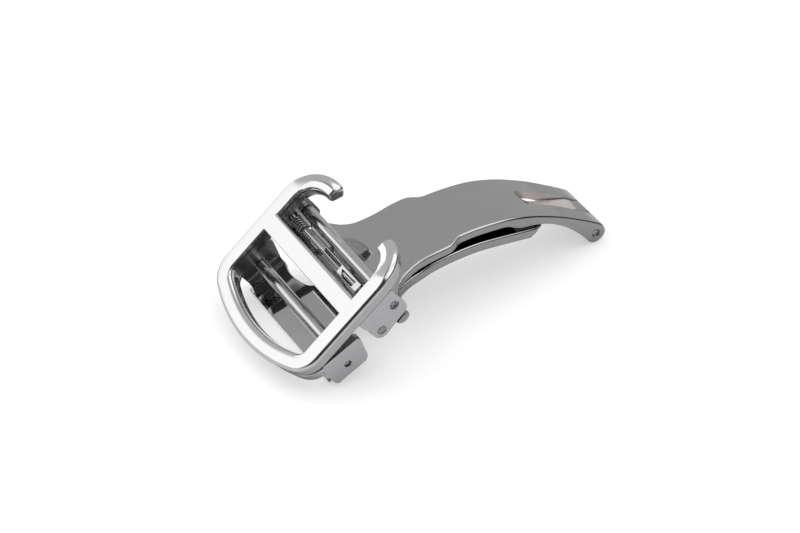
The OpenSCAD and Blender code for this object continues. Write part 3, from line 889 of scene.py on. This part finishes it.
@dataclass
class Blade:
    """A curved blade: a strip between a top and a bottom line, as wide as its plan."""

    top: list[Point]
    foot: list[Point]
    plan: list[Point]
    edge_r: float = 0.26

    def rings(self) -> list[list[Vector]]:
        """Rings with rounded top edges from the left end to the end of the fold knuckle."""
        start, reach = self.top[0][0], PLAN.fold_r
        fold_x, fold_z = PLAN.fold
        stops = sorted({round(x, 4) for line in (self.plan, self.top) for x, _ in line
                        if start <= x < fold_x - reach})
        stops += [fold_x - reach * math.cos(math.pi * k / 16) for k in range(16)]
        stops.append(fold_x + reach * 0.995)
        rings = []
        for x in stops:
            high, low = height_at(self.top, x), height_at(self.foot, x)
            knuckle = math.sqrt(max(reach ** 2 - (x - fold_x) ** 2, 0.0))
            if x > fold_x - reach:
                low = min(low, fold_z - knuckle) if x < fold_x else fold_z - knuckle
            if x > PLAN.knee()[0]:
                high = fold_z + knuckle
            w = height_at(self.plan, x)
            r = min(self.edge_r, (high - low) * 0.4)
            half = [(w, low)] + arc((w - r, high - r), r, 0, 90, 4)
            rings.append([Vector((x, y, z)) for y, z in half + [(-y, z) for y, z in reversed(half)]])
        return rings


def upper_blade() -> Blade:
    """The upper blade's lines and plan."""
    hx, hz = PLAN.cover(*PLAN.hinge)
    fold_x, fold_z = PLAN.fold
    thick = 0.95
    top = spline([(hx, hz + thick), (0.2, -2.42), (1.2, -2.11), (2.2, -1.76), (3.2, -1.41), (4.2, -1.08),
                  (5.2, -0.78), (6.2, -0.5), (8.2, -0.06), (10.2, 0.17), (12.2, 0.29), (14.2, 0.33),
                  (16.2, 0.22), (18.2, -0.02), (20.2, -0.51), (22.2, -1.18), (24.2, -2.05),
                  (26.2, -3.04), (28.2, -4.2), (fold_x - 0.55, -5.43), PLAN.knee()], 4)
    fork = spline([(18.6, -1.1), (20.0, -1.88), (21.5, -2.2), (23, -2.62), (24.7, -3.38), (26.7, -4.77),
                   (28.7, -6.72), (fold_x - 0.85, fold_z - 0.9)], 4)
    foot = [(x, min(z - thick, height_at(fork, x)) if x > fork[0][0] else z - thick) for x, z in top]
    plan = spline([(hx - 1.2, 8.5), (hx + 1.5, 8.5), (1.8, 8.5), (1.86, 8.1), (2.15, 7.55), (2.5, 6.98),
                   (2.95, 6.4), (3.7, 5.75), (4.6, 5.35), (6.4, 5.02), (8.6, 5.06), (10.3, 5.05),
                   (11.1, 4.75), (11.9, 4.28), (13, 4.18), (18, 4.16), (24, 3.98), (fold_x - 2, 3.82),
                   (fold_x + 1.45, 3.82)], 5)
    return Blade(top, foot, plan)


def lower_blade() -> Blade:
    """The lower blade's lines and plan, from the neck to the tongue's knuckle."""
    sizes = Cradle()
    ax, az = PLAN.cradle(3, -sizes.plate_drop)
    bx, bz = PLAN.cradle(6.2, -sizes.plate_drop)
    fold_x, fold_z = PLAN.fold
    line = spline([(ax, az), ((ax + bx) / 2, (az + bz) / 2), (bx, bz), (2.4, -3.62), (4.6, -3.22),
                   (6.9, -2.84), (8.9, -2.28), (11.6, -1.95), (14.4, -1.9), (17.2, -2.2), (20, -2.62),
                   (21.9, -2.95), (23.8, -3.3), (25.2, -3.63)], 4)
    # The neck is as thin as the cradle's plate, and the blade thickens past it.
    thin, thick = sizes.plate_t / math.cos(math.radians(PLAN.cradle_tilt)), 1.15
    foot = [(x, z - thin - (thick - thin) * min(1.0, max(0.0, (x - 0.2) / 3))) for x, z in line]
    foot += [(27.6, -6.0), (fold_x - 0.7, fold_z - 1.03)]
    top = line + [(29.6, -5.12), (fold_x - 0.45, -5.62), PLAN.knee()]
    plan = ([(ax, 3.0), (1.29, 3.0)]
            + spline([(1.3, 6.9), (1.6, 7.2), (2.3, 7.2), (2.7, 6.8), (2.9, 6.3), (3.25, 5.7),
                      (3.9, 5.05), (5.2, 4.45), (7, 4.15), (12, 4.12), (18, 4.08), (21.8, 4), (22.7, 3.85),
                      (23.4, 3.4), (23.9, 2.6), (24.2, 1.7), (24.6, 1.3), (25.2, 1.2)], 5)
            + [(fold_x + 1.4, 1.2)])
    return Blade(top, foot, plan)


@dataclass
class Blades:
    """The two blades and the fold pin that joins them.

    Every y is half a width. The notch parts the knuckles on the hinge pin, the slot takes the tongue,
    the window takes the latch, and the sinks are round the fold pin. The crosspiece is cut away for
    the lugs at each angle of cover_open. room_y, slot_end and side lie past the metal.
    """

    knuckle_r: float = 0.95
    knuckle_y: float = 8.5
    notch_y: float = 4.4
    notch_x: float = 1.3
    cross: Point = (1.05, -2.15)
    cross_r: float = 0.87
    cross_y: float = 10.2
    room_y: float = 11.0
    lug_play: float = 0.13
    cover_open: tuple[float, ...] = (0.0, 3.0, 6.0)
    slot_x: float = 22.45
    slot_end: float = 34.0
    slot_y: float = 1.4
    window_y: float = 1.5
    tongue_y: float = 1.5
    side: float = 5.0
    pin_r: float = 0.5
    pin_reach: float = 3.67
    sink_r: float = 0.6
    sink_y: float = 3.72

    def lug_room(self, open_by: float) -> list[Point]:
        """The room a lug needs with the cover turned open by some degrees, as X and Z."""
        x, z = PLAN.hinge
        heel_r = PLAN.heel_r + self.lug_play
        room = ([(x, z - PLAN.lug_r - self.lug_play)] + arc(PLAN.heel, heel_r, -90, 0, 10)
                + [(PLAN.heel[0] + heel_r, 3), (x, 3)])
        return [tilted(px - x, pz - z, PLAN.cover_tilt - open_by, PLAN.cover(x, z)) for px, pz in room]

    def crosspiece(self, blade: Blade) -> Workpiece:
        """The round crosspiece, whose ends pass under the lugs."""
        section = [(x, min(z, height_at(blade.top, x)))
                   for x, z in arc(self.cross, self.cross_r, 0, 352.5, 47)]
        piece = Workpiece.plate("crosspiece", section, -self.cross_y, self.cross_y)
        for open_by in self.cover_open:
            for y0, y1 in both_sides(self.knuckle_y, self.room_y):
                piece.cut(Workpiece.plate("room", self.lug_room(open_by), y0, y1))
        return piece

    def build_upper(self, looks: Finishes) -> None:
        """The upper blade: knuckles at the left, slot for the tongue at the right."""
        blade, hinge = upper_blade(), PLAN.cover(*PLAN.hinge)
        piece = Workpiece("upper_blade_steel", blade.rings())
        knuckles = [(-self.knuckle_y, self.knuckle_r), (self.knuckle_y, self.knuckle_r)]
        piece.weld(Workpiece.turned("knuckle", hinge, knuckles))
        piece.weld(self.crosspiece(blade))
        notch = shaft(hinge[0] - 2 * PAST, self.notch_x)
        piece.cut(Workpiece.plate("notch", notch, -self.notch_y, self.notch_y))
        x, y, end = self.slot_x, self.slot_y, self.slot_end
        slot = rounded([(x, -y, 0.6), (end, -y, 0), (end, y, 0), (x, y, 0.6)])
        piece.cut(Workpiece.slab("slot", slot, UNDER, OVER))
        piece.bore(hinge, PLAN.hinge_pin_r + PLAN.pin_play, -self.knuckle_y - PAST, self.knuckle_y + PAST)
        piece.bore(PLAN.fold, self.pin_r, -self.side, self.side)
        for y0, y1 in both_sides(self.sink_y, self.side):
            piece.bore(PLAN.fold, self.sink_r, y0, y1)
        piece.clean()
        self.dress(piece, "upper_blade", looks, self.slot_x - 0.05, 32.5)

    def build_lower(self, looks: Finishes) -> None:
        """The lower blade: neck with its window, wide end, tongue with its knuckle."""
        blade, hinge_x = lower_blade(), PLAN.cover(*PLAN.hinge)[0]
        piece = Workpiece("lower_blade_steel", blade.rings())
        window = shaft(hinge_x + 0.6, hinge_x + 3.0)
        piece.cut(Workpiece.plate("window", window, -self.window_y, self.window_y))
        piece.bore(PLAN.fold, self.pin_r + PLAN.pin_play, -self.side, self.side)
        # The blade's end slants up beside the tongue.
        end = [(21.5, -4.7), (21.75, -3.95), (22.8, -3.38), (24.4, -3.55), (26, -3.9), (26, -6), (21.5, -6)]
        for y0, y1 in both_sides(self.tongue_y, self.side):
            piece.cut(Workpiece.plate("end", end, y0, y1))
        piece.clean()
        self.dress(piece, "lower_blade", looks, 24.3, 30)

    def dress(self, piece: Workpiece, name: str, looks: Finishes, left: float, right: float) -> None:
        """Hands a blade over, with matt flanks whose darker colour is painted shade, and a pale painted
        reflection on the slot or tongue between two X.
        """
        piece.hand_over(name, looks.blade, name, smooth=30)
        # Faces that look along Y get the rougher finish, and its darker colour is painted shade.
        piece.dress_flanks(looks.edge)
        # The slot's walls or the tongue between the two X get the pale painted reflection.
        piece.dress_within(looks.slot, left, right, self.slot_y + 0.02)

    def build_fold_pin(self, looks: Finishes) -> None:
        """The fold pin with its domed ends, set a little back from the fork's faces."""
        profile = both_ends(self.pin_reach, self.pin_r, [(0, 0.22), (0.05, 0.1), (0.14, 0)])
        piece = Workpiece.turned("fold_pin_turned", PLAN.fold, profile)
        piece.hand_over("upper_blade", looks.pin, "fold_pin")

    def build(self, looks: Finishes) -> None:
        """Builds and dresses the blades."""
        self.build_upper(looks)
        self.build_lower(looks)
        self.build_fold_pin(looks)


# Cradle.


@dataclass
class Cradle:
    """The cradle under the cover's left end: rim, plate, gussets and two cheeks."""

    plate_t: float = 0.6
    plate_drop: float = 1.42
    rim_t: float = 1.2
    rim_w: float = 1.15
    band_w: float = 1.92
    rim_gap: float = 0.24

    def rim(self, cover: Cover) -> Workpiece:
        """The rim that follows the cover's left end."""
        top = PLAN.cover_rise - cover.frame_t - cover.band_t - self.rim_gap
        out, inner = self.band_w / 2, self.band_w / 2 - self.rim_w
        section = rounded([(inner, top - self.rim_t, 0.12), (inner, top, 0.1), (out, top, 0.12),
                           (out, top - self.rim_t, 0.2)], 3)
        end_x = cover.bend()[1]
        run = [s for s in cover.full_run() if s.x < end_x + 0.01]
        first, last = (Station(end_x + 1, s.y, s.heading, 0) for s in (run[0], run[-1]))
        rings = [[Vector((*s.beside(u), v)) for u, v in section] for s in [first, *run, last]]
        return Workpiece("cradle_steel", rings).tilt(PLAN.cover_tilt)

    def cheek(self) -> Workpiece:
        """The far cheek with its bore and rounded corners."""
        outline = rounded([(-2.7, 1.05, 0.1), (-2.36, -1.1, 0.3), (-2.1, -1.5, 0.2), (1.8, -1.5, 0.4),
                           (2.3, -1.0, 0.4), (2.72, 1.85, 0.35), (2.4, 2.25, 0.2), (-2.3, 2.25, 0.2)], 5)
        piece = Workpiece.plate("cheek", outline, PLAN.cheek_inner, PLAN.cheek_outer)
        piece.bore((0, 0), PLAN.tip_bore, PLAN.cheek_inner - PAST, PLAN.cheek_outer + PAST)
        return piece.bevel(0.09, 3)

    def gusset(self) -> Workpiece:
        """The bend from the plate up to the far cheek."""
        inner, top, foot = PLAN.cheek_inner, -self.plate_drop, -self.plate_drop - self.plate_t
        section = [(inner + 0.5, -1.5), (inner + 0.1, foot), (inner - 0.9, foot), (inner - 0.9, top),
                   (inner - 0.3, top + 0.15), (inner + 0.1, top + 0.7), (inner + 0.5, top + 0.7)]
        return Workpiece("gusset", [[Vector((x, y, z)) for y, z in section] for x in (-2.36, 2.24)])

    def plate(self) -> Workpiece:
        """The plate under the buckle bar, waisted into the neck."""
        side, top, foot = PLAN.cheek_inner - 0.4, -self.plate_drop, -self.plate_drop - self.plate_t
        half = spline([(2.3, side), (2.15, 8.2), (1.9, 7.2), (1.88, 6.2), (2.1, 4.8), (2.5, 3.6), (3, 3)], 4)
        outline = [(-2.8, side)] + half + [(x, -y) for x, y in reversed(half)] + [(-2.8, -side)]
        piece = Workpiece.slab("plate", outline, foot, top)
        # The neck's end stands upright in the row frame, so its foot leans to the left in the plate's.
        lean = math.tan(math.radians(PLAN.cradle_tilt)) * self.plate_t
        for corner in piece.obj.data.vertices:
            if corner.co.x > 2.9 and corner.co.z < (top + foot) / 2:
                corner.co.x -= lean
        return piece

    def build(self, cover: Cover, looks: Finishes) -> None:
        """Builds and dresses the cradle as one solid."""
        cheek, gusset = self.cheek(), self.gusset()
        parts = [cheek, cheek.mirrored("cheek_near"), gusset, gusset.mirrored("gusset_near"),
                 self.plate().bevel(0.06)]
        piece = self.rim(cover)
        for part in parts:
            piece.join(part.tilt(PLAN.cradle_tilt, PLAN.buckle))
        piece.hand_over("lower_blade", looks.tray, "strap_cradle")
        piece.dress_flanks(looks.plate)


# Studio.


@dataclass(frozen=True)
class Spot:
    """A soft round light in the dome, in degrees: its middle, its full part and its end."""

    azimuth: float
    elevation: float
    inner: float
    outer: float
    strength: float = 1.0

    def shine(self, direction: Signal) -> Signal:
        """Its light from a direction."""
        a, e = math.radians(self.azimuth), math.radians(self.elevation)
        aim = (math.cos(e) * math.cos(a), math.cos(e) * math.sin(a), math.sin(e))
        near = direction.bench.node("ShaderNodeVectorMath", {0: direction, 1: aim}, out="Value",
                                    operation="DOT_PRODUCT")
        end, full = math.cos(math.radians(self.outer)), math.cos(math.radians(self.inner))
        return near.step(end, full, self.strength)


@dataclass
class Studio:
    """Table, light and camera of the photograph, in metres.

    Attributes:
        table_white, table_grey: the table's shade to the camera, and its grey in the steel, which is painted
            shade of the table as the steel sees it.
        table_fall, table_rise: start, end and amount of the grey's change with distance: painted shade that
            darkens it past a few centimetres from the clasp, and painted light that brightens it again far
            off.
        base: the dome's light outside its spots.
    """

    eye: Place = (-0.11994, -0.21258, 0.20102)
    aim: Place = (0.00683, 0.0, -0.00483)
    lens: float = 129.4
    table_size: float = 6.0
    table_white: float = 0.97
    table_grey: float = 0.51
    table_fall: Ramp = (0.036, 0.05, 0.16)
    table_rise: Ramp = (0.3, 1.2, 0.12)
    softbox: Spot = Spot(160, 32, 28, 38, 1.2)
    low_box: Spot = Spot(118, 10, 14, 28)
    wall: Spot = Spot(60, 28, 42, 56, 0.46)
    overhead: Spot = Spot(-20, 70, 29, 38)
    front: Spot = Spot(-60, 42, 14, 24, 0.8)
    base: float = 0.04

    @staticmethod
    def place(name: str, data: bpy.types.ID, at: Place, aim: Place) -> bpy.types.Object:
        """Puts a camera or a lamp somewhere and points it at the clasp."""
        made = bpy.data.objects.new(name, data)
        bpy.context.scene.collection.objects.link(made)
        made.location = at
        made.rotation_euler = (Vector(aim) - made.location).to_track_quat("-Z", "Y").to_euler()
        return made

    def camera(self) -> None:
        """The camera, at the photograph's place."""
        data = bpy.data.cameras.new("camera")
        data.lens, data.sensor_width = self.lens, 36.0
        data.clip_start, data.clip_end = 0.01, 20.0
        bpy.context.scene.camera = self.place("camera", data, self.eye, self.aim)

    def table(self, low: float) -> None:
        """A white table that the clasp lies on. In the steel's reflections it is grey, with painted shade
        and painted light that change with the distance from the clasp.
        """
        bpy.ops.object.select_all(action="DESELECT")
        bpy.ops.mesh.primitive_plane_add(size=self.table_size, location=(0, 0, low))
        floor = bpy.context.object
        floor.name = "table"
        material = bpy.data.materials.new("white_table")
        material.use_nodes = True
        bench = ShaderBench(material.node_tree)
        place = bench.node("ShaderNodeTexCoord", out="Object")
        reach = bench.node("ShaderNodeVectorMath", {0: place}, out="Value", operation="LENGTH")
        camera = bench.node("ShaderNodeLightPath", out="Is Camera Ray")
        # Painted shade and light on the table as the steel sees it: a grey that darkens past 4 to 5 cm and
        # brightens again from 0.3 to 1.2 m.
        mirrored = self.table_grey - reach.step(*self.table_fall) + reach.step(*self.table_rise)
        shade = mirrored + (self.table_white - mirrored) * camera
        colour = bench.node("ShaderNodeCombineColor", {0: shade, 1: shade, 2: shade})
        matt = bench.node("ShaderNodeBsdfDiffuse", {"Color": colour})
        white = bench.node("ShaderNodeEmission", {"Strength": 1.0})
        shader = bench.node("ShaderNodeMixShader", {0: camera * 0.5, 1: matt, 2: white})
        bench.finish("ShaderNodeOutputMaterial", shader)
        floor.data.materials.append(material)
        floor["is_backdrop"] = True

    def sky(self) -> None:
        """A dark studio with soft lights round the clasp, which the camera sees as white."""
        world = bpy.data.worlds.new("studio")
        bpy.context.scene.world = world
        world.use_nodes = True
        bench = ShaderBench(world.node_tree)
        direction = bench.node("ShaderNodeTexCoord", out="Generated")
        light = self.softbox.shine(direction).above(self.low_box.shine(direction)) + self.base
        for spot in (self.wall, self.overhead, self.front):
            light = light + spot.shine(direction)
        camera = bench.node("ShaderNodeLightPath", out="Is Camera Ray")
        light = light * (1 - camera) + camera
        colour = bench.node("ShaderNodeCombineColor", {0: light, 1: light, 2: light})
        shader = bench.node("ShaderNodeBackground", {"Color": colour, "Strength": 1.0})
        bench.finish("ShaderNodeOutputWorld", shader)

    def lamp(self, name: str, at: Place, size: float, power: float) -> None:
        """A square soft lamp that points at the clasp and isn't mirrored in it."""
        data = bpy.data.lights.new(name, "AREA")
        data.shape, data.size, data.energy = "SQUARE", size, power
        self.place(name, data, at, (0.005, 0.0, -0.005)).visible_glossy = False

    def build(self, low: float) -> None:
        """Sets up the whole studio."""
        self.camera()
        self.table(low)
        self.sky()
        self.lamp("key_lamp", (-0.45, 0.4, 0.8), 0.9, 3.4)
        self.lamp("fill_lamp", (0.1, -0.2, 1.0), 2.6, 11.0)
        bpy.context.scene.view_settings.view_transform = "Standard"


def dress_inner_springs(looks: Finishes) -> None:
    """Gives the springs inside the bars their wire finish."""
    for name in ("strap_bar_spring", "buckle_bar_spring"):
        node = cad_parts[name]
        node.data.materials.clear()
        node.data.materials.append(looks.spring.material)


def main() -> None:
    """Builds the clasp and its studio."""
    logging.basicConfig(level=logging.INFO, format="%(message)s")
    solid_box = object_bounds()
    looks = Finishes()
    cover = Cover()
    cover.build(looks)
    Latch().build(looks)
    SprungBar("strap_bar", "cover", (0.0, 0.0), PLAN.lug_inner, PLAN.lug_outer).build(looks)
    SprungBar("buckle_bar", "lower_blade", PLAN.buckle, PLAN.cheek_inner, PLAN.cheek_outer).build(looks)
    Blades().build(looks)
    Cradle().build(cover, looks)
    dress_inner_springs(looks)
    Studio().build(solid_box[0][2])


if __name__ == "__main__":
    main()
